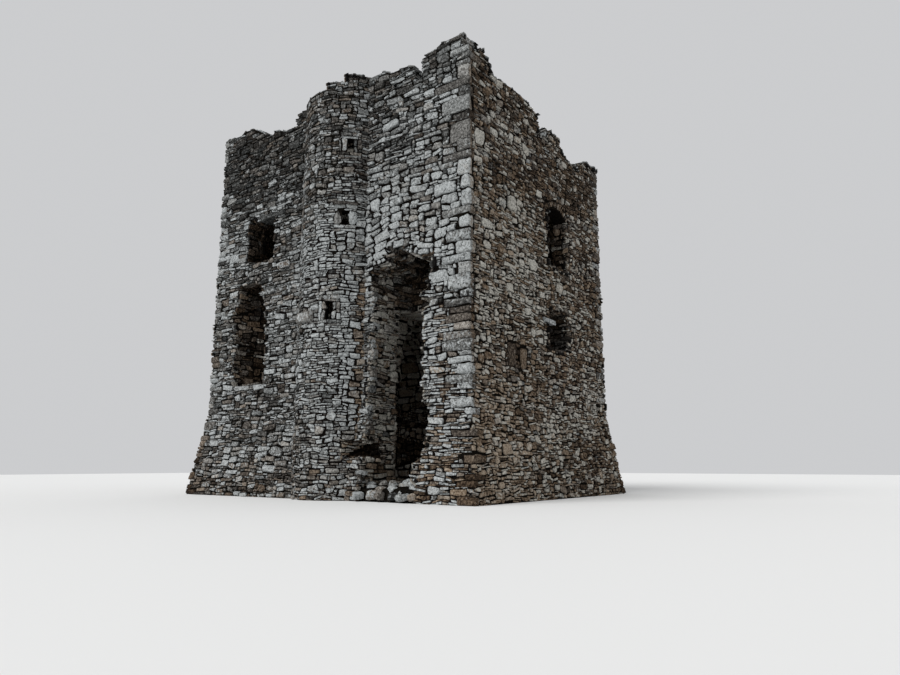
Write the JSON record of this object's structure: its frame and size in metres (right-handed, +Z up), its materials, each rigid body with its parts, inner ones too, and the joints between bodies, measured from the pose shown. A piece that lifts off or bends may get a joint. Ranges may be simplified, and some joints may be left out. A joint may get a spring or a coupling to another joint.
{
  "type": "castle keep",
  "caption": "Ruined stone castle keep with a round stair turret, a tall breach in its front wall, windows, slits, vaults and worn stepped parapets.",
  "frame": {"origin": "ground level in the middle of the keep's plan", "axes": "+Z up, the front wall with the stair turret faces -Y, the side wall with the tall window faces +X"},
  "size_m": [11.3, 9.3411, 12.4],
  "materials": {
    "front_stone": "rough grey rubble with pale lichen",
    "side_stone": "rough dark brown rubble with grey lichen",
    "dressed_stone": "weathered dressed stone",
    "vault_stone": "damp flagged and vaulted stone"
  },
  "bodies": {
    "root": {"front_wall_ground": "front_stone", "front_wall_loft_left": "front_stone", "front_wall_loft_right": "front_stone", "front_wall_hall": "front_stone", "breach_left_jamb": "front_stone", "corner_pier": "front_stone", "wall_over_breach": "front_stone", "breach_rubble": "dressed_stone", "stair_turret_ground": "front_stone", "stair_turret_loft": "front_stone", "stair_turret_hall": "front_stone", "stair_turret_top": "front_stone", "low_slit": "dressed_stone", "middle_slit": "dressed_stone", "middle_slit_hood": "dressed_stone", "high_slit": "dressed_stone", "turret_ledge": "dressed_stone", "right_wall_ground": "side_stone", "right_wall_loft": "side_stone", "right_wall_hall": "side_stone", "back_wall_ground": "side_stone", "back_wall_loft": "side_stone", "back_wall_hall": "side_stone", "left_wall_ground": "side_stone", "left_wall_loft": "side_stone", "left_wall_hall": "side_stone", "ground_floor": "vault_stone", "lower_vault": "vault_stone", "upper_vault": "vault_stone", "front_parapet_left": "front_stone", "front_parapet_right": "front_stone", "corner_merlon": "front_stone", "right_parapet_front": "side_stone", "right_parapet_back": "side_stone", "back_parapet": "side_stone", "left_parapet": "side_stone", "hall_window_lintel": "dressed_stone", "loft_gap_slab": "dressed_stone", "tall_window_arch": "dressed_stone", "side_opening_slab": "dressed_stone", "blocked_slit": "dressed_stone", "left_window_arch": "dressed_stone", "back_window_lintel": "dressed_stone"}
  },
  "joints": []
}
